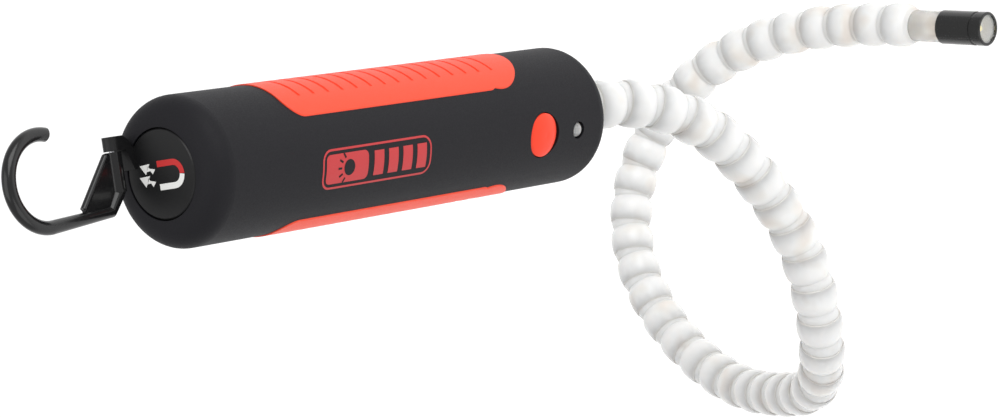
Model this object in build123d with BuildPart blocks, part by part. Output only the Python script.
from build123d import *
from math import cos, radians, sin, sqrt
import os

# A rechargeable inspection light with a self-holding arm of ball-jointed clear beads, a magnetic
# pickup tip, and a magnet and a folding hook on a swivel at the other end.
# Frame: millimetres, +Z up. The case axis is Z, with the swivel's outer face at z = 0 and the
# nose below it. The button faces -Y. The light hangs from its swivel end.

# ---- Case
CASE_RADIUS = 20.0
CASE_LENGTH = 168.0
WALL = 2.8
CORE_RADIUS = CASE_RADIUS - WALL
REAR_ROUND_LENGTH = 6.5
NOSE_ROUND = 5.0
END_WALL = 2.6
CORE_CORNER = 2.7
SEAT_RADIUS = 12.1
SEAT_DEPTH = 3.4
HUB_HOLE_RADIUS = 9.3
NOSE_HOLE_RADIUS = 8.0
NOSE_Z = -CASE_LENGTH

# ---- Rubber grips, set into pockets on both sides
GRIP_FLOOR_RADIUS = 18.5
GRIP_RADIUS = 20.3
GRIP_HALF_WIDTH = 14.4
GRIP_TOP_Z = -33.0
GRIP_NOSE_CENTRE_Z = -122.4
GRIP_TOP_CORNER = 5.5
GROOVE_COUNT = 15
GROOVE_PITCH = 5.87
GROOVE_FIRST_Z = -41.4
GROOVE_RADIUS = 0.55
GROOVE_HALF_ANGLE = 26.0

# ---- Case screws, in three pairs
SCREW_X = 8.6
SCREW_ZS = (-20.0, -101.0, -159.0)
FRONT_BOSS_RADIUS = 2.9
REAR_BOSS_RADIUS = 4.2
SCREW_SHANK_RADIUS = 1.25
SCREW_CLEARANCE_RADIUS = 1.7
SCREW_HEAD_RADIUS = 2.6
SCREW_SINK_RADIUS = 2.9
SCREW_SEAT_Y = 12.5
SCREW_HEAD_HEIGHT = 1.8
SCREW_REACH = 8.0
SCREW_HOLE_SPARE = 1.0
SCREW_HEX_RADIUS = 1.3

# ---- Button, indicator and electronics
BUTTON_Z = -136.4
BUTTON_RADIUS = 6.3
BUTTON_HOLE_RADIUS = 6.6
BUTTON_FLANGE_RADIUS = 7.7
BUTTON_FLANGE_Y = -15.0
BUTTON_FLANGE_THICKNESS = 1.2
BUTTON_EDGE_Y = -19.2
BUTTON_CROWN_Y = -20.7
BUTTON_SHOULDER_FALL = 0.28
BUTTON_SHOULDER_RADIUS = 3.465
BOARD_FACE_Y = -10.0
BOARD_THICKNESS = 1.2
BOARD_HALF_WIDTH = 12.0
BOARD_TOP_Z = -105.5
BOARD_LOW_Z = -155.9
POST_X = 8.0
POST_ZS = (-112.0, -148.0)
POST_RADIUS = 2.0
INDICATOR_Z = -152.5
INDICATOR_RADIUS = 2.45
INDICATOR_HOLE_RADIUS = 2.55
INDICATOR_DOME_Y = -17.9
INDICATOR_RIM = 0.45
INDICATOR_RIM_HEIGHT = 1.0
BOARD_SCREW_RADIUS = 0.8
BOARD_SCREW_REACH = 4.0
BOARD_SCREW_HEAD = 1.1
BOARD_SCREW_SPARE = 0.5
SWITCH_SIDE = 6.0
SWITCH_HEIGHT = 2.3
SWITCH_KEY_RADIUS = 1.75
SWITCH_KEY_HEIGHT = 0.4
SOCKET_Z = -140.0
SOCKET_BOARD_Y = 11.4
SOCKET_WIDTH = 9.0
SOCKET_HEIGHT = 3.3
SOCKET_DEPTH = 7.6
SOCKET_CORNER = 1.5
SOCKET_SHEET = 0.35
SOCKET_BASE = 1.2
SOCKET_TONGUE = 0.7
SOCKET_GAP = 0.3
SOCKET_POST_X = 6.0
CHARGE_BOARD_WIDTH = 17.0
CHARGE_BOARD_HEIGHT = 12.0
CELL_RADIUS = 9.2
CELL_TOP_Z = -27.5
CELL_LENGTH = 65.0
CELL_ROUND = 0.8
CELL_STUD_RADIUS = 3.0
CELL_STUD_HEIGHT = 1.0
CRADLE_RADIUS = 10.8
CRADLE_GAP = 0.2
CRADLE_END = 1.2
CRADLE_TOP_Z = CELL_TOP_Z + 2.5
CRADLE_LOW_Z = CELL_TOP_Z - CELL_LENGTH - 3.6
CRADLE_END_DEPTH = 7.0
CRADLE_RIB_INSET = 8.0
CRADLE_RIB_THICKNESS = 2.0
CRADLE_RIB_WIDTH = 17.28
SPRING_RADIUS = 2.6
SPRING_BASE_RADIUS = 4.4
CONTACT_SIDE = 8.0
LEAD_RADIUS = 0.9
LEAD_START_Z = -145.0
LEAD_DROP = 5.0
LEAD_TURN_Z = -152.0

# ---- Swivel and hook. U points from the case axis to the hook's hinge, V along the hinge.
SWIVEL_RADIUS = 11.8
SWIVEL_THICKNESS = 3.0
HUB_RADIUS = 9.0
HUB_LENGTH = 5.8
CUP_RADIUS = 7.6
SKIN = 0.8
MAGNET_THICKNESS = 4.4
PLATE_THICKNESS = 1.6
CLIP_TOP_Z = -6.3
CLIP_THICKNESS = 1.0
CLIP_GROOVE_RADIUS = 8.2
CLIP_RADIUS = 10.6
CLIP_MOUTH = 6.0
SWIVEL_ANGLE = 106.5
HINGE_U = 10.8
HINGE_Z = 5.3
HINGE_LOW_V = -11.4
LUG_THICKNESS = 3.7
LUG_RADIUS = 2.3
LUG_FOOT_Z = -1.2
LUG_FOOT_LOW_V = -8.2
LUG_FOOT_HIGH_V = -2.2
LUG_BROW_Z = 3.2
LUG_TOE_Z = 0.4
LUG_HEEL_Z = 2.7
DISC_CLEAR_Z = 0.35
DISC_EDGE = 0.4
PIN_LENGTH = 12.0
PIN_RADIUS = 0.9
PIN_CLEARANCE = 0.05
HOOK_BARREL_RADIUS = 2.2
HOOK_RADIUS = 11.8
HOOK_SECTION_RADIUS = 1.85
HOOK_CENTRE_V = -2.7
HOOK_CENTRE_Z = 30.5
HOOK_TIP_ANGLE = 193.0
HOOK_TIP_LENGTH = 0.7
HOOK_TIP_RADIUS = 1.2
HOOK_END_GAP = 0.3
HOOK_BARREL_END_V = 3.0
HOOK_BARREL_RISE = 0.2
SHANK_ROOT_RADIUS = 1.9
SHANK_FOOT = (7.6, 9.0)
SHANK_FOOT_RADIUS = 1.5
WEB_THICKNESS = 1.5
WEB_RIM_RADIUS = 0.95
WEB_RIM_LOW = (-6.4, 8.3)
WEB_RIM_HIGH = (6.0, 18.5)
WEB_SHANK_V = 8.2
WEB_SHANK_Z = 18.0

# ---- Arm beads. Each bead has a ball behind and a socket in front, one pitch apart.
BEAD_COUNT = 42
BEADS_PER_BODY = 2
PITCH = 11.0
BALL_RADIUS = 5.0
SOCKET_RADIUS = 5.3
CUP_OUTER_RADIUS = 6.5
SKIRT_RADIUS = 6.8
BEAD_RADIUS = 7.35
RIM_RADIUS = 7.05
BORE_RADIUS = 1.8
NECK_RADIUS = 3.4
WEB_AT = 4.5
RIM_AT = -1.0
SHOULDER_AT = 7.4
BULGE_AT = 3.2
CAVITY_MIDDLE_AT = 1.8
TUBE_COLLAR = 0.4
TUBE_COLLAR_LENGTH = 1.2
LIP = 2.2
FIRST_PIVOT_Z = -172.8
COLLAR_RADIUS = 9.5
COLLAR_FACE_Z = -169.3
COLLAR_FLANGE_RADIUS = 10.2
COLLAR_FLANGE_THICKNESS = 1.6
COLLAR_EDGE = 0.6

# The arm as it is bent: a loop below the nose that passes behind itself.
ARM_ROUTE = [
    (0, 0, -172.8),
    (2, -5, -192),
    (-3, -16, -215),
    (-20, -26, -237),
    (-46, -36, -255),
    (-75, -39.5, -266),
    (-94, -32, -279),
    (-105, -10, -294),
    (-110, 22, -310),
    (-94, 60, -319),
    (-68, 80, -327),
    (-37, 82, -339),
    (-10, 63, -344),
    (8, 28, -346),
    (17, -22, -344),
]

# ---- Pickup tip, measured from the last bead's rear pivot
TUBE_RADIUS = 5.25
TUBE_BORE = 4.1
TUBE_START = 6.0
SLEEVE_START = 20.6
SLEEVE_LENGTH = 17.5
SLEEVE_RADIUS = 5.65
SLEEVE_OVERLAP = 5.0
SLEEVE_BORE = 4.75
TIP_MAGNET_LENGTH = 5.0
REFLECTOR_DEPTH = 3.6
LENS_RECESS = 0.4
LENS_THICKNESS = 1.0
SLEEVE_EDGE = 0.3
SLEEVE_GROOVE_DEPTH = 0.35
SLEEVE_GROOVE_BACK = 4.4
SLEEVE_GROOVE_FRONT = 3.4
SLEEVE_GROOVE_SLOPE = 0.2
TIP_MAGNET_BORE = 2.0
REFLECTOR_LIP = 0.5
REFLECTOR_BOWL_RADIUS = 2.6
REFLECTOR_BOWL_DEPTH = 1.0
LED_RADIUS = 1.2
LED_BACK = 0.6
LED_SHOULDER = 1.0
LED_DOME_RADIUS = 0.7
LED_DOME_AT = 1.6
LED_TOP = 1.8


os.makedirs("parts", exist_ok=True)


def save(builder, name):
    """Label a finished piece and write its file."""
    builder.part.label = name
    export_step(builder.part, f"parts/{name}.step")


def swivel_point(u, v, z):
    """A point given along the swivel's U and V, in the part's frame."""
    turn = radians(SWIVEL_ANGLE)
    return Vector(u * cos(turn) - v * sin(turn), u * sin(turn) + v * cos(turn), z)


U_DIR = swivel_point(1, 0, 0)
V_DIR = swivel_point(0, 1, 0)


def side_plane(u):
    """A plane across U, with local x along V and local y along Z."""
    return Plane(origin=swivel_point(u, 0, 0), x_dir=V_DIR, z_dir=V_DIR.cross(Vector(0, 0, 1)))


def front_plane(y, x=0.0, z=0.0):
    """A plane across Y at (x, y, z), with local x along X and local y along Z, facing -Y."""
    return Plane(origin=(x, y, z), x_dir=(1, 0, 0), z_dir=(0, -1, 0))


def sphere_radius_at(radius, along):
    """The radius of a sphere's section at a distance from its centre."""
    return sqrt(radius**2 - along**2)


# ---- Arm route and pivots


def arm_pivots():
    """Ball centres, stepped one pitch apart along the smooth route, and the end point."""
    route = Spline(*ARM_ROUTE)
    pivots = [Vector(*ARM_ROUTE[0])]
    place = 0.0
    while len(pivots) <= BEAD_COUNT:
        low = place
        high = 1.0
        for _ in range(40):
            middle = (low + high) / 2
            if (route.position_at(middle) - pivots[-1]).length < PITCH:
                low = middle
            else:
                high = middle
        place = low
        pivots.append(route.position_at(place))
    assert place < 1.0, "the route is shorter than the arm"
    return pivots


PIVOTS = arm_pivots()
AHEAD = [(b - a).normalized() for a, b in zip(PIVOTS, PIVOTS[1:])]


def bead_plane(index):
    """The plane of a bead's half section: local x is radial, local y runs forward."""
    ahead = AHEAD[index]
    radial = ahead.cross(Vector(1, 0, 0)).normalized()
    return Plane(origin=PIVOTS[index], x_dir=radial, z_dir=radial.cross(ahead))


# ---- Case shells and grips


def grip_blank():
    """The right grip's solid before its grooves."""
    low_z = GRIP_NOSE_CENTRE_Z - GRIP_HALF_WIDTH
    with BuildPart() as blank:
        with BuildSketch(Plane.YZ):
            with Locations((0, (GRIP_TOP_Z + GRIP_NOSE_CENTRE_Z) / 2)):
                body = Rectangle(2 * GRIP_HALF_WIDTH, GRIP_TOP_Z - GRIP_NOSE_CENTRE_Z)
            fillet(body.vertices().group_by(Axis.Z)[-1], GRIP_TOP_CORNER)
            with Locations((0, GRIP_NOSE_CENTRE_Z)):
                Circle(GRIP_HALF_WIDTH)
        extrude(amount=CASE_RADIUS * 1.2)
        with BuildSketch(Plane.XZ):
            with Locations(((GRIP_FLOOR_RADIUS + GRIP_RADIUS) / 2, (GRIP_TOP_Z + low_z) / 2)):
                Rectangle(GRIP_RADIUS - GRIP_FLOOR_RADIUS, 1.2 * (GRIP_TOP_Z - low_z))
        revolve(axis=Axis.Z, mode=Mode.INTERSECT)
    return blank.part


def grip(name, side):
    """A rubber grip with fine grooves across it. side is 1 on +X and -1 on -X."""
    start = radians(-GROOVE_HALF_ANGLE)
    groove_side = Vector(cos(start), sin(start), 0)
    with BuildPart() as piece:
        add(grip_blank())
        for number in range(GROOVE_COUNT):
            level = Vector(0, 0, GROOVE_FIRST_Z - number * GROOVE_PITCH)
            plane = Plane(origin=level, x_dir=groove_side, z_dir=groove_side.cross(Vector(0, 0, 1)))
            with BuildSketch(plane):
                with Locations((GRIP_RADIUS, 0)):
                    Circle(GROOVE_RADIUS)
            revolve(axis=Axis.Z, revolution_arc=2 * GROOVE_HALF_ANGLE, mode=Mode.SUBTRACT)
        if side < 0:
            mirror(about=Plane.YZ, mode=Mode.REPLACE)
    save(piece, name)


def case_outline():
    """The case's outer outline as lines in the half plane, from the seat to the nose hole."""
    EllipticalCenterArc(
        (SEAT_RADIUS, -REAR_ROUND_LENGTH),
        CASE_RADIUS - SEAT_RADIUS,
        REAR_ROUND_LENGTH,
        start_angle=0,
        arc_size=90,
    )
    Line((CASE_RADIUS, -REAR_ROUND_LENGTH), (CASE_RADIUS, NOSE_Z + NOSE_ROUND))
    CenterArc((CASE_RADIUS - NOSE_ROUND, NOSE_Z + NOSE_ROUND), NOSE_ROUND, 270, 90)


def boss_planes(y):
    """One plane per case screw, at a given y."""
    return [front_plane(y, x, z) for x in (-SCREW_X, SCREW_X) for z in SCREW_ZS]


def case_shell(name, front):
    """Half of the case. The front half has the button side."""
    seat_z = -SEAT_DEPTH
    wall_z = seat_z - END_WALL
    nose_inside_z = NOSE_Z + END_WALL
    outward = 1 if front else -1
    with BuildPart() as shell:
        with BuildSketch(Plane.XZ):
            with BuildLine():
                case_outline()
                Polyline(
                    (CASE_RADIUS - NOSE_ROUND, NOSE_Z),
                    (NOSE_HOLE_RADIUS, NOSE_Z),
                    (NOSE_HOLE_RADIUS, nose_inside_z),
                    (CORE_RADIUS - CORE_CORNER, nose_inside_z),
                    (CORE_RADIUS, nose_inside_z + CORE_CORNER),
                    (CORE_RADIUS, wall_z - CORE_CORNER),
                    (CORE_RADIUS - CORE_CORNER, wall_z),
                    (HUB_HOLE_RADIUS, wall_z),
                    (HUB_HOLE_RADIUS, seat_z),
                    (SEAT_RADIUS, seat_z),
                    (SEAT_RADIUS, 0),
                )
            make_face()
        revolve(axis=Axis.Z)
        for plane in boss_planes(0):
            with BuildSketch(plane):
                Circle(FRONT_BOSS_RADIUS if front else REAR_BOSS_RADIUS)
            extrude(amount=outward * CASE_RADIUS)
        if front:
            for x in (-POST_X, POST_X):
                for z in POST_ZS:
                    with BuildSketch(front_plane(BOARD_FACE_Y, x, z)):
                        Circle(POST_RADIUS)
                    extrude(amount=CASE_RADIUS + BOARD_FACE_Y)
        else:
            rib_zs = (CELL_TOP_Z - CRADLE_RIB_INSET, CELL_TOP_Z - CELL_LENGTH + CRADLE_RIB_INSET)
            for z in rib_zs:
                with BuildSketch(Plane.XY.offset(z - CRADLE_RIB_THICKNESS / 2)):
                    with Locations((0, CASE_RADIUS / 2)):
                        Rectangle(CRADLE_RIB_WIDTH, CASE_RADIUS)
                    Circle(CRADLE_RADIUS, mode=Mode.SUBTRACT)
                extrude(amount=CRADLE_RIB_THICKNESS)
            for x in (-SOCKET_POST_X, SOCKET_POST_X):
                with BuildSketch(front_plane(SOCKET_BOARD_Y, x, SOCKET_Z)):
                    Circle(POST_RADIUS)
                extrude(amount=-(CASE_RADIUS - SOCKET_BOARD_Y))
        with BuildSketch(Plane.XZ):
            with BuildLine():
                case_outline()
                Polyline(
                    (CASE_RADIUS - NOSE_ROUND, NOSE_Z),
                    (0, NOSE_Z),
                    (0, 0),
                    (SEAT_RADIUS, 0),
                )
            make_face()
        revolve(axis=Axis.Z, mode=Mode.INTERSECT)
        split(bisect_by=Plane.XZ, keep=Keep.TOP if front else Keep.BOTTOM)
        add(grip_blank(), mode=Mode.SUBTRACT)
        add(mirror(grip_blank(), about=Plane.YZ, mode=Mode.PRIVATE), mode=Mode.SUBTRACT)
        if front:
            for plane in boss_planes(0):
                with BuildSketch(plane):
                    Circle(SCREW_SHANK_RADIUS)
                extrude(amount=SCREW_REACH + SCREW_HOLE_SPARE, mode=Mode.SUBTRACT)
            for x in (-POST_X, POST_X):
                for z in POST_ZS:
                    with BuildSketch(front_plane(BOARD_FACE_Y, x, z)):
                        Circle(BOARD_SCREW_RADIUS)
                    extrude(amount=BOARD_SCREW_REACH, mode=Mode.SUBTRACT)
            for z, radius in ((BUTTON_Z, BUTTON_HOLE_RADIUS), (INDICATOR_Z, INDICATOR_HOLE_RADIUS)):
                with BuildSketch(front_plane(0, 0, z)):
                    Circle(radius)
                extrude(amount=2 * CASE_RADIUS, mode=Mode.SUBTRACT)
        else:
            for plane in boss_planes(0):
                with BuildSketch(plane):
                    Circle(SCREW_CLEARANCE_RADIUS)
                extrude(amount=-2 * CASE_RADIUS, mode=Mode.SUBTRACT)
            for plane in boss_planes(SCREW_SEAT_Y):
                with BuildSketch(plane):
                    Circle(SCREW_SINK_RADIUS)
                extrude(amount=-2 * CASE_RADIUS, mode=Mode.SUBTRACT)
            with BuildSketch(front_plane(SOCKET_BOARD_Y, 0, SOCKET_Z)):
                RectangleRounded(
                    SOCKET_WIDTH + 2 * SOCKET_GAP, SOCKET_HEIGHT + 2 * SOCKET_GAP, SOCKET_CORNER
                )
            extrude(amount=-CASE_RADIUS, mode=Mode.SUBTRACT)
    save(shell, name)


case_shell("front_shell", front=True)
case_shell("rear_shell", front=False)
grip("grip_right", 1)
grip("grip_left", -1)

with BuildPart() as case_screws:
    for plane in boss_planes(SCREW_SEAT_Y):
        with BuildSketch(plane):
            Circle(SCREW_HEAD_RADIUS)
            RegularPolygon(SCREW_HEX_RADIUS, 6, mode=Mode.SUBTRACT)
        extrude(amount=-SCREW_HEAD_HEIGHT)
        with BuildSketch(plane):
            Circle(SCREW_HEAD_RADIUS)
        extrude(amount=-SCREW_HEAD_HEIGHT / 2)
        with BuildSketch(plane):
            Circle(SCREW_SHANK_RADIUS)
        extrude(amount=SCREW_SEAT_Y + SCREW_REACH)
save(case_screws, "case_screws")

# ---- Nose collar, which holds the first socket
with BuildPart() as nose_collar:
    pivot_z = FIRST_PIVOT_Z
    face_at = COLLAR_FACE_Z - pivot_z
    hub_z = NOSE_Z + END_WALL
    with BuildSketch(Plane.XZ):
        with BuildLine():
            Polyline(
                (sphere_radius_at(CUP_OUTER_RADIUS, face_at), COLLAR_FACE_Z),
                (COLLAR_RADIUS - COLLAR_EDGE, COLLAR_FACE_Z),
                (COLLAR_RADIUS, COLLAR_FACE_Z + COLLAR_EDGE),
                (COLLAR_RADIUS, NOSE_Z),
                (NOSE_HOLE_RADIUS, NOSE_Z),
                (NOSE_HOLE_RADIUS, hub_z),
                (COLLAR_FLANGE_RADIUS, hub_z),
                (COLLAR_FLANGE_RADIUS, hub_z + COLLAR_FLANGE_THICKNESS),
                (BORE_RADIUS, hub_z + COLLAR_FLANGE_THICKNESS),
                (BORE_RADIUS, pivot_z + sphere_radius_at(SOCKET_RADIUS, BORE_RADIUS)),
            )
            ThreePointArc(
                (BORE_RADIUS, pivot_z + sphere_radius_at(SOCKET_RADIUS, BORE_RADIUS)),
                (SOCKET_RADIUS, pivot_z),
                (sphere_radius_at(SOCKET_RADIUS, LIP), pivot_z - LIP),
            )
            Line(
                (sphere_radius_at(SOCKET_RADIUS, LIP), pivot_z - LIP),
                (sphere_radius_at(CUP_OUTER_RADIUS, LIP), pivot_z - LIP),
            )
            ThreePointArc(
                (sphere_radius_at(CUP_OUTER_RADIUS, LIP), pivot_z - LIP),
                (CUP_OUTER_RADIUS, pivot_z),
                (sphere_radius_at(CUP_OUTER_RADIUS, face_at), COLLAR_FACE_Z),
            )
        make_face()
    revolve(axis=Axis.Z)
save(nose_collar, "nose_collar")

# ---- Button
with BuildPart() as button:
    with BuildSketch(front_plane(BUTTON_FLANGE_Y + BUTTON_FLANGE_THICKNESS, 0, BUTTON_Z)):
        Circle(BUTTON_FLANGE_RADIUS)
    extrude(amount=BUTTON_FLANGE_THICKNESS)
    with BuildSketch(Plane.YZ):
        with BuildLine():
            Polyline(
                (BUTTON_EDGE_Y, BUTTON_Z + BUTTON_RADIUS),
                (BUTTON_FLANGE_Y, BUTTON_Z + BUTTON_RADIUS),
                (BUTTON_FLANGE_Y, BUTTON_Z),
                (BUTTON_CROWN_Y, BUTTON_Z),
            )
            ThreePointArc(
                (BUTTON_CROWN_Y, BUTTON_Z),
                (BUTTON_CROWN_Y + BUTTON_SHOULDER_FALL, BUTTON_Z + BUTTON_SHOULDER_RADIUS),
                (BUTTON_EDGE_Y, BUTTON_Z + BUTTON_RADIUS),
            )
        make_face()
    revolve(axis=Axis((0, 0, BUTTON_Z), (0, 1, 0)))
save(button, "button")

# ---- Electronics
with BuildPart() as circuit_board:
    board_centre_z = (BOARD_TOP_Z + BOARD_LOW_Z) / 2
    with BuildSketch(front_plane(BOARD_FACE_Y + BOARD_THICKNESS, 0, board_centre_z)):
        Rectangle(2 * BOARD_HALF_WIDTH, BOARD_TOP_Z - BOARD_LOW_Z)
        with Locations(*((x, z - board_centre_z) for x in (-POST_X, POST_X) for z in POST_ZS)):
            Circle(BOARD_SCREW_RADIUS, mode=Mode.SUBTRACT)
    extrude(amount=BOARD_THICKNESS)
save(circuit_board, "circuit_board")

with BuildPart() as board_screws:
    for x in (-POST_X, POST_X):
        for z in POST_ZS:
            with BuildSketch(front_plane(BOARD_FACE_Y + BOARD_THICKNESS, x, z)):
                Circle(2 * BOARD_SCREW_RADIUS)
            extrude(amount=-BOARD_SCREW_HEAD)
            with BuildSketch(front_plane(BOARD_FACE_Y + BOARD_THICKNESS, x, z)):
                Circle(BOARD_SCREW_RADIUS)
            extrude(amount=BOARD_THICKNESS + BOARD_SCREW_REACH - BOARD_SCREW_SPARE)
save(board_screws, "board_screws")

with BuildPart() as push_switch:
    with BuildSketch(front_plane(BOARD_FACE_Y, 0, BUTTON_Z)):
        Rectangle(SWITCH_SIDE, SWITCH_SIDE)
    extrude(amount=SWITCH_HEIGHT)
    with BuildSketch(front_plane(BOARD_FACE_Y - SWITCH_HEIGHT, 0, BUTTON_Z)):
        Circle(SWITCH_KEY_RADIUS)
    extrude(amount=SWITCH_KEY_HEIGHT)
save(push_switch, "push_switch")

with BuildPart() as indicator_led:
    with BuildSketch(front_plane(BOARD_FACE_Y, 0, INDICATOR_Z)):
        Circle(INDICATOR_RADIUS + INDICATOR_RIM)
    extrude(amount=INDICATOR_RIM_HEIGHT)
    with BuildSketch(front_plane(BOARD_FACE_Y, 0, INDICATOR_Z)):
        Circle(INDICATOR_RADIUS)
    extrude(amount=-INDICATOR_DOME_Y + BOARD_FACE_Y)
    with BuildSketch(Plane.YZ):
        with Locations((INDICATOR_DOME_Y, INDICATOR_Z)):
            Circle(INDICATOR_RADIUS)
        with Locations((INDICATOR_DOME_Y + CASE_RADIUS, INDICATOR_Z)):
            Rectangle(2 * CASE_RADIUS, 4 * INDICATOR_RADIUS, mode=Mode.SUBTRACT)
        with Locations((INDICATOR_DOME_Y, INDICATOR_Z - 2 * INDICATOR_RADIUS)):
            Rectangle(CASE_RADIUS, 4 * INDICATOR_RADIUS, mode=Mode.SUBTRACT)
    revolve(axis=Axis((0, 0, INDICATOR_Z), (0, 1, 0)))
save(indicator_led, "indicator_led")

with BuildPart() as battery_cell:
    with BuildSketch(Plane.XY.offset(CELL_TOP_Z - CELL_LENGTH)):
        Circle(CELL_RADIUS)
    extrude(amount=CELL_LENGTH)
    fillet(battery_cell.edges().filter_by(GeomType.CIRCLE), CELL_ROUND)
    with BuildSketch(Plane.XY.offset(CELL_TOP_Z - CELL_LENGTH - CELL_STUD_HEIGHT)):
        Circle(CELL_STUD_RADIUS)
    extrude(amount=2 * CELL_STUD_HEIGHT)
save(battery_cell, "battery_cell")

with BuildPart() as battery_holder:
    with BuildSketch(Plane.XY.offset(CRADLE_LOW_Z)):
        Circle(CRADLE_RADIUS)
        Circle(CELL_RADIUS + CRADLE_GAP, mode=Mode.SUBTRACT)
        with Locations((0, -CRADLE_RADIUS)):
            Rectangle(4 * CRADLE_RADIUS, 2 * CRADLE_RADIUS, mode=Mode.SUBTRACT)
    extrude(amount=CRADLE_TOP_Z - CRADLE_LOW_Z)
    for z in (CRADLE_LOW_Z, CRADLE_TOP_Z - CRADLE_END):
        with BuildSketch(Plane.XY.offset(z)):
            Circle(CRADLE_RADIUS)
            with Locations((0, -CRADLE_RADIUS - CRADLE_END_DEPTH)):
                Rectangle(4 * CRADLE_RADIUS, 2 * CRADLE_RADIUS, mode=Mode.SUBTRACT)
        extrude(amount=CRADLE_END)
save(battery_holder, "battery_holder")

with BuildPart() as battery_contacts:
    spring_top_z = CRADLE_TOP_Z - CRADLE_END
    with BuildSketch(Plane.XZ):
        with BuildLine():
            Polyline(
                (0, CELL_TOP_Z),
                (SPRING_RADIUS, CELL_TOP_Z),
                (SPRING_BASE_RADIUS, spring_top_z),
                (0, spring_top_z),
                close=True,
            )
        make_face()
    revolve(axis=Axis.Z)
    with BuildSketch(Plane.XY.offset(CRADLE_LOW_Z + CRADLE_END)):
        Rectangle(CONTACT_SIDE, CONTACT_SIDE)
    extrude(amount=CELL_TOP_Z - CELL_LENGTH - CELL_STUD_HEIGHT - CRADLE_LOW_Z - CRADLE_END)
save(battery_contacts, "battery_contacts")

with BuildPart() as charge_board:
    with BuildSketch(front_plane(SOCKET_BOARD_Y, 0, SOCKET_Z)):
        Rectangle(CHARGE_BOARD_WIDTH, CHARGE_BOARD_HEIGHT)
    extrude(amount=BOARD_THICKNESS)
save(charge_board, "charge_board")

with BuildPart() as charge_socket:
    with BuildSketch(front_plane(SOCKET_BOARD_Y, 0, SOCKET_Z)):
        RectangleRounded(SOCKET_WIDTH, SOCKET_HEIGHT, SOCKET_CORNER)
    extrude(amount=-SOCKET_DEPTH)
    with BuildSketch(front_plane(SOCKET_BOARD_Y + SOCKET_BASE, 0, SOCKET_Z)):
        RectangleRounded(
            SOCKET_WIDTH - 2 * SOCKET_SHEET,
            SOCKET_HEIGHT - 2 * SOCKET_SHEET,
            SOCKET_CORNER - SOCKET_SHEET,
        )
        Rectangle(SOCKET_WIDTH - SOCKET_HEIGHT, SOCKET_TONGUE, mode=Mode.SUBTRACT)
    extrude(amount=-SOCKET_DEPTH, mode=Mode.SUBTRACT)
save(charge_socket, "charge_socket")

with BuildPart() as case_lead:
    board_y = BOARD_FACE_Y + BOARD_THICKNESS
    end_z = NOSE_Z + END_WALL + COLLAR_FLANGE_THICKNESS
    with BuildLine() as lead_route:
        FilletPolyline(
            (0, board_y, LEAD_START_Z),
            (0, board_y + LEAD_DROP, LEAD_START_Z),
            (0, 0, LEAD_TURN_Z),
            (0, 0, end_z - COLLAR_FLANGE_THICKNESS),
            radius=[2.2, 3.0],
        )
    with BuildSketch(front_plane(board_y, 0, LEAD_START_Z)):
        Circle(LEAD_RADIUS)
    sweep()
save(case_lead, "case_lead")

# ---- Swivel
with BuildPart() as swivel_disc:
    hub_low_z = -SWIVEL_THICKNESS - HUB_LENGTH
    lug_high_v = HINGE_LOW_V + LUG_THICKNESS
    with BuildSketch(side_plane(HINGE_U - LUG_RADIUS)):
        with BuildLine():
            Polyline(
                (HINGE_LOW_V, HINGE_Z),
                (HINGE_LOW_V, LUG_BROW_Z),
                (LUG_FOOT_LOW_V, LUG_FOOT_Z),
                (LUG_FOOT_HIGH_V, LUG_FOOT_Z),
                (LUG_FOOT_HIGH_V, LUG_TOE_Z),
                (lug_high_v, LUG_HEEL_Z),
                (lug_high_v, HINGE_Z),
                close=True,
            )
        make_face()
    extrude(amount=2 * LUG_RADIUS)
    with BuildSketch(Plane(origin=swivel_point(HINGE_U, HINGE_LOW_V, HINGE_Z), z_dir=V_DIR)):
        Circle(LUG_RADIUS)
    extrude(amount=LUG_THICKNESS)
    with BuildSketch(Plane.XZ):
        with BuildLine():
            Polyline(
                (SWIVEL_RADIUS, DISC_CLEAR_Z),
                (2 * CASE_RADIUS, DISC_CLEAR_Z),
                (2 * CASE_RADIUS, -HUB_LENGTH),
                (SWIVEL_RADIUS, -HUB_LENGTH),
                close=True,
            )
        make_face()
    revolve(axis=Axis.Z, mode=Mode.SUBTRACT)
    with BuildSketch(Plane.XZ):
        with BuildLine():
            Polyline(
                (0, 0),
                (SWIVEL_RADIUS - DISC_EDGE, 0),
                (SWIVEL_RADIUS, -DISC_EDGE),
                (SWIVEL_RADIUS, -SWIVEL_THICKNESS),
                (HUB_RADIUS, -SWIVEL_THICKNESS),
                (HUB_RADIUS, CLIP_TOP_Z),
                (CLIP_GROOVE_RADIUS, CLIP_TOP_Z),
                (CLIP_GROOVE_RADIUS, CLIP_TOP_Z - CLIP_THICKNESS),
                (HUB_RADIUS, CLIP_TOP_Z - CLIP_THICKNESS),
                (HUB_RADIUS, hub_low_z),
                (CUP_RADIUS, hub_low_z),
                (CUP_RADIUS, -SKIN),
                (0, -SKIN),
                close=True,
            )
        make_face()
    revolve(axis=Axis.Z)
    with BuildSketch(Plane(origin=swivel_point(HINGE_U, HINGE_LOW_V, HINGE_Z), z_dir=V_DIR)):
        Circle(PIN_RADIUS)
    extrude(amount=LUG_THICKNESS, mode=Mode.SUBTRACT)
save(swivel_disc, "swivel_disc")

with BuildPart() as rear_magnet:
    with BuildSketch(Plane.XY.offset(-SKIN)):
        Circle(CUP_RADIUS)
    extrude(amount=-MAGNET_THICKNESS)
save(rear_magnet, "rear_magnet")

with BuildPart() as magnet_plate:
    with BuildSketch(Plane.XY.offset(-SKIN - MAGNET_THICKNESS)):
        Circle(CUP_RADIUS)
    extrude(amount=-PLATE_THICKNESS)
save(magnet_plate, "magnet_plate")

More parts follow.
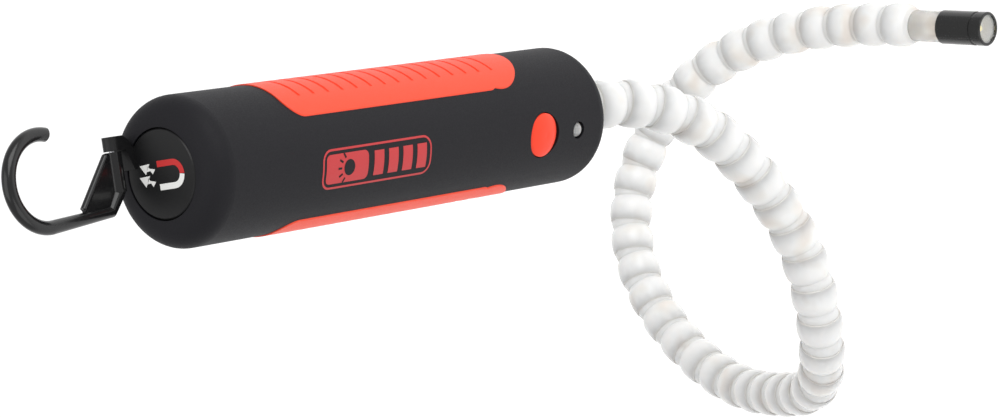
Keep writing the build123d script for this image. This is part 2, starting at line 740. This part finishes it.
with BuildPart() as swivel_clip:
    with BuildSketch(Plane.XY.offset(CLIP_TOP_Z)):
        Circle(CLIP_RADIUS)
        Circle(CLIP_GROOVE_RADIUS, mode=Mode.SUBTRACT)
        with Locations((0, -CLIP_RADIUS)):
            Rectangle(CLIP_MOUTH, CLIP_RADIUS, mode=Mode.SUBTRACT)
    extrude(amount=-CLIP_THICKNESS)
save(swivel_clip, "swivel_clip")

with BuildPart() as hook_pin:
    with BuildSketch(Plane(origin=swivel_point(HINGE_U, HINGE_LOW_V, HINGE_Z), z_dir=V_DIR)):
        Circle(PIN_RADIUS)
    extrude(amount=PIN_LENGTH)
save(hook_pin, "hook_pin")

# ---- Hook
with BuildPart() as hook:
    barrel_start = HINGE_LOW_V + LUG_THICKNESS + HOOK_END_GAP
    barrel_end = HOOK_BARREL_END_V
    barrel_plane = Plane(origin=swivel_point(HINGE_U, barrel_start, HINGE_Z), z_dir=V_DIR)
    foot_v, foot_z = SHANK_FOOT
    foot = swivel_point(HINGE_U, foot_v, foot_z)
    barrel_tip = swivel_point(HINGE_U, barrel_end, HINGE_Z + HOOK_BARREL_RISE)
    shank_top = swivel_point(HINGE_U, HOOK_CENTRE_V + HOOK_RADIUS, HOOK_CENTRE_Z)
    with BuildSketch(barrel_plane):
        Circle(HOOK_BARREL_RADIUS)
    extrude(amount=barrel_end - barrel_start)
    with BuildSketch(Plane(origin=barrel_tip, z_dir=foot - barrel_tip)):
        Circle(SHANK_ROOT_RADIUS)
    with BuildSketch(Plane(origin=foot, z_dir=foot - barrel_tip)):
        Circle(SHANK_FOOT_RADIUS)
    loft()
    with BuildSketch(Plane(origin=foot, z_dir=shank_top - foot)):
        Circle(SHANK_FOOT_RADIUS)
    with BuildSketch(Plane(origin=shank_top, z_dir=shank_top - foot)):
        Circle(HOOK_SECTION_RADIUS)
    loft()
    for centre, radius in ((barrel_tip, SHANK_ROOT_RADIUS), (foot, SHANK_FOOT_RADIUS)):
        with Locations(centre):
            Sphere(radius)
    with BuildSketch(Plane(origin=shank_top, x_dir=V_DIR, z_dir=(0, 0, 1))):
        Circle(HOOK_SECTION_RADIUS)
    hook_axis = Axis(swivel_point(HINGE_U, HOOK_CENTRE_V, HOOK_CENTRE_Z), U_DIR)
    revolve(axis=hook_axis, revolution_arc=HOOK_TIP_ANGLE)
    tip_turn = radians(HOOK_TIP_ANGLE)
    tip = swivel_point(
        HINGE_U,
        HOOK_CENTRE_V + HOOK_RADIUS * cos(tip_turn),
        HOOK_CENTRE_Z + HOOK_RADIUS * sin(tip_turn),
    )
    tip_ahead = swivel_point(0, -sin(tip_turn), cos(tip_turn))
    tip_end = tip + tip_ahead * HOOK_TIP_LENGTH
    with BuildSketch(Plane(origin=tip, z_dir=tip_ahead)):
        Circle(HOOK_SECTION_RADIUS)
    with BuildSketch(Plane(origin=tip_end, z_dir=tip_ahead)):
        Circle(HOOK_TIP_RADIUS)
    loft()
    with Locations(shank_top):
        Sphere(HOOK_SECTION_RADIUS)
    with BuildSketch(side_plane(HINGE_U - WEB_THICKNESS / 2)):
        with BuildLine():
            Polyline(
                (barrel_start + HOOK_END_GAP, HINGE_Z),
                WEB_RIM_LOW,
                WEB_RIM_HIGH,
                (WEB_SHANK_V, WEB_SHANK_Z),
                (foot_v, foot_z),
                (barrel_end, HINGE_Z),
                close=True,
            )
        make_face()
    extrude(amount=WEB_THICKNESS)
    rim_low = swivel_point(HINGE_U, *WEB_RIM_LOW)
    rim_high = swivel_point(HINGE_U, *WEB_RIM_HIGH)
    rim_plane = Plane(origin=rim_low, z_dir=rim_high - rim_low)
    with BuildSketch(rim_plane):
        Circle(WEB_RIM_RADIUS)
    extrude(amount=(rim_high - rim_low).length)
    with Locations(rim_low):
        Sphere(WEB_RIM_RADIUS)
    with BuildSketch(barrel_plane):
        Circle(PIN_RADIUS + PIN_CLEARANCE)
    extrude(amount=PIN_LENGTH - LUG_THICKNESS, mode=Mode.SUBTRACT)
save(hook, "hook")

# ---- Arm beads


def bead_section(last):
    """Half section of a bead, radius against distance from its rear pivot."""
    ball_back = -sphere_radius_at(BALL_RADIUS, BORE_RADIUS)
    ball_front = sphere_radius_at(BALL_RADIUS, NECK_RADIUS)
    cavity_end = sphere_radius_at(SKIRT_RADIUS, WEB_AT)
    rim_inside = sphere_radius_at(SKIRT_RADIUS, RIM_AT)
    ThreePointArc((BORE_RADIUS, ball_back), (BALL_RADIUS, 0), (NECK_RADIUS, ball_front))
    Polyline((NECK_RADIUS, ball_front), (NECK_RADIUS, WEB_AT), (cavity_end, WEB_AT))
    ThreePointArc(
        (cavity_end, WEB_AT),
        (sphere_radius_at(SKIRT_RADIUS, CAVITY_MIDDLE_AT), CAVITY_MIDDLE_AT),
        (rim_inside, RIM_AT),
    )
    Line((rim_inside, RIM_AT), (RIM_RADIUS, RIM_AT))
    ThreePointArc((RIM_RADIUS, RIM_AT), (BEAD_RADIUS, BULGE_AT), (RIM_RADIUS, SHOULDER_AT))
    if last:
        Polyline(
            (RIM_RADIUS, SHOULDER_AT),
            (TUBE_RADIUS + TUBE_COLLAR, SHOULDER_AT + TUBE_COLLAR_LENGTH),
            (TUBE_RADIUS, SHOULDER_AT + TUBE_COLLAR_LENGTH),
            (TUBE_RADIUS, TUBE_START),
            (BORE_RADIUS, TUBE_START),
            (BORE_RADIUS, ball_back),
        )
        return
    cup_start = SHOULDER_AT - PITCH
    socket_back = PITCH - sphere_radius_at(SOCKET_RADIUS, BORE_RADIUS)
    lip_outside = (sphere_radius_at(CUP_OUTER_RADIUS, LIP), PITCH + LIP)
    lip_inside = (sphere_radius_at(SOCKET_RADIUS, LIP), PITCH + LIP)
    cup_foot = (sphere_radius_at(CUP_OUTER_RADIUS, cup_start), SHOULDER_AT)
    Line((RIM_RADIUS, SHOULDER_AT), cup_foot)
    ThreePointArc(cup_foot, (CUP_OUTER_RADIUS, PITCH), lip_outside)
    Line(lip_outside, lip_inside)
    ThreePointArc(lip_inside, (SOCKET_RADIUS, PITCH), (BORE_RADIUS, socket_back))
    Line((BORE_RADIUS, socket_back), (BORE_RADIUS, ball_back))


for first in range(0, BEAD_COUNT, BEADS_PER_BODY):
    with BuildPart() as beads:
        for index in range(first, first + BEADS_PER_BODY):
            with BuildSketch(bead_plane(index)):
                with BuildLine():
                    bead_section(last=index == BEAD_COUNT - 1)
                make_face()
            revolve(axis=Axis(PIVOTS[index], AHEAD[index]))
    save(beads, f"arm_beads_{first // BEADS_PER_BODY + 1:02d}")

# ---- Pickup tip, all turned about the last bead's axis
TIP_PLANE = bead_plane(BEAD_COUNT - 1)
TIP_AXIS = Axis(PIVOTS[BEAD_COUNT - 1], AHEAD[BEAD_COUNT - 1])
TIP_FACE = SLEEVE_START + SLEEVE_LENGTH
LENS_FACE = TIP_FACE - LENS_RECESS
REFLECTOR_START = LENS_FACE - LENS_THICKNESS - REFLECTOR_DEPTH


def turned_tip_piece(name, *outline):
    """A tip piece turned from its half section, radius against distance."""
    with BuildPart() as piece:
        with BuildSketch(TIP_PLANE):
            with BuildLine():
                Polyline(*outline, close=True)
            make_face()
        revolve(axis=TIP_AXIS)
    save(piece, name)


turned_tip_piece(
    "tip_tube",
    (TUBE_BORE, TUBE_START),
    (TUBE_RADIUS, TUBE_START),
    (TUBE_RADIUS, SLEEVE_START + SLEEVE_OVERLAP),
    (TUBE_BORE, SLEEVE_START + SLEEVE_OVERLAP),
)
turned_tip_piece(
    "tip_sleeve",
    (TUBE_RADIUS, SLEEVE_START),
    (SLEEVE_RADIUS - SLEEVE_EDGE, SLEEVE_START),
    (SLEEVE_RADIUS, SLEEVE_START + SLEEVE_EDGE),
    (SLEEVE_RADIUS, TIP_FACE - SLEEVE_GROOVE_BACK - SLEEVE_GROOVE_SLOPE),
    (SLEEVE_RADIUS - SLEEVE_GROOVE_DEPTH, TIP_FACE - SLEEVE_GROOVE_BACK),
    (SLEEVE_RADIUS - SLEEVE_GROOVE_DEPTH, TIP_FACE - SLEEVE_GROOVE_FRONT),
    (SLEEVE_RADIUS, TIP_FACE - SLEEVE_GROOVE_FRONT + SLEEVE_GROOVE_SLOPE),
    (SLEEVE_RADIUS, TIP_FACE - SLEEVE_EDGE),
    (SLEEVE_RADIUS - SLEEVE_EDGE, TIP_FACE),
    (SLEEVE_BORE, TIP_FACE),
    (SLEEVE_BORE, SLEEVE_START + SLEEVE_OVERLAP),
    (TUBE_RADIUS, SLEEVE_START + SLEEVE_OVERLAP),
)
turned_tip_piece(
    "tip_magnet",
    (TIP_MAGNET_BORE, REFLECTOR_START - TIP_MAGNET_LENGTH),
    (SLEEVE_BORE, REFLECTOR_START - TIP_MAGNET_LENGTH),
    (SLEEVE_BORE, REFLECTOR_START),
    (TIP_MAGNET_BORE, REFLECTOR_START),
)
turned_tip_piece(
    "tip_reflector",
    (LED_RADIUS, REFLECTOR_START),
    (SLEEVE_BORE, REFLECTOR_START),
    (SLEEVE_BORE, LENS_FACE - LENS_THICKNESS),
    (SLEEVE_BORE - REFLECTOR_LIP, LENS_FACE - LENS_THICKNESS),
    (REFLECTOR_BOWL_RADIUS, REFLECTOR_START + REFLECTOR_BOWL_DEPTH),
    (LED_RADIUS, REFLECTOR_START + LED_BACK),
)
turned_tip_piece(
    "tip_led",
    (0, REFLECTOR_START - LED_BACK),
    (LED_RADIUS, REFLECTOR_START - LED_BACK),
    (LED_RADIUS, REFLECTOR_START + LED_SHOULDER),
    (LED_DOME_RADIUS, REFLECTOR_START + LED_DOME_AT),
    (0, REFLECTOR_START + LED_TOP),
)
turned_tip_piece(
    "tip_lens",
    (0, LENS_FACE - LENS_THICKNESS),
    (SLEEVE_BORE, LENS_FACE - LENS_THICKNESS),
    (SLEEVE_BORE, LENS_FACE),
    (0, LENS_FACE),
)
